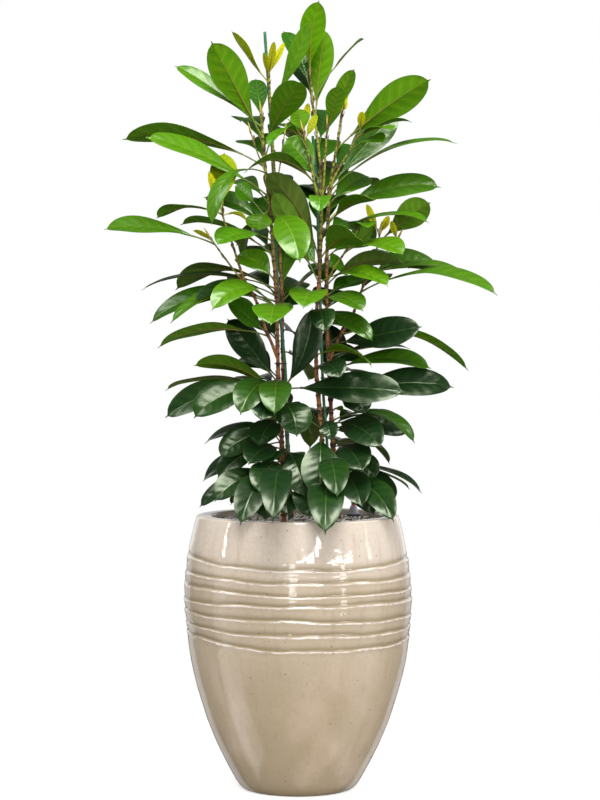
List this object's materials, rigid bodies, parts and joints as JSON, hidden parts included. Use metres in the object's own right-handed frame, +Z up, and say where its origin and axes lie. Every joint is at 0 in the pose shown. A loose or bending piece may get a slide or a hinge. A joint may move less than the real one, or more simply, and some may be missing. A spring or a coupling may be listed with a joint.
{
  "type": "potted african fig",
  "caption": "Potted african fig with leafy stems tied to green canes, in a tall glazed egg-shaped planter with wavy ridges, mineral grit and a water gauge.",
  "frame": {"origin": "on the floor, under the middle of the planter's flat base", "axes": "+Z up along the stems, +X to the right and -Y to the front as seen in the picture"},
  "size_m": [0.7418, 0.56, 1.497],
  "materials": {
    "glaze": "gloss",
    "grit": "matte",
    "roots": "matte",
    "gauge_plastic": "satin",
    "clear_plastic": "gloss",
    "float_plastic": "gloss",
    "cane_green": "satin",
    "tie_wire": "satin",
    "foliage": "satin"
  },
  "bodies": {
    "root": {"planter": "glaze", "substrate": "grit", "root_ball": "roots", "gauge_body": "gauge_plastic", "gauge_tube": "clear_plastic", "gauge_float": "float_plastic", "cane_left": "cane_green", "cane_right": "cane_green", "tie_left": "tie_wire", "tie_right": "tie_wire", "tie_top": "tie_wire", "stem_left_front": "foliage", "stem_left_back": "foliage", "stem_right_front": "foliage", "stem_right_back": "foliage"}
  },
  "joints": []
}
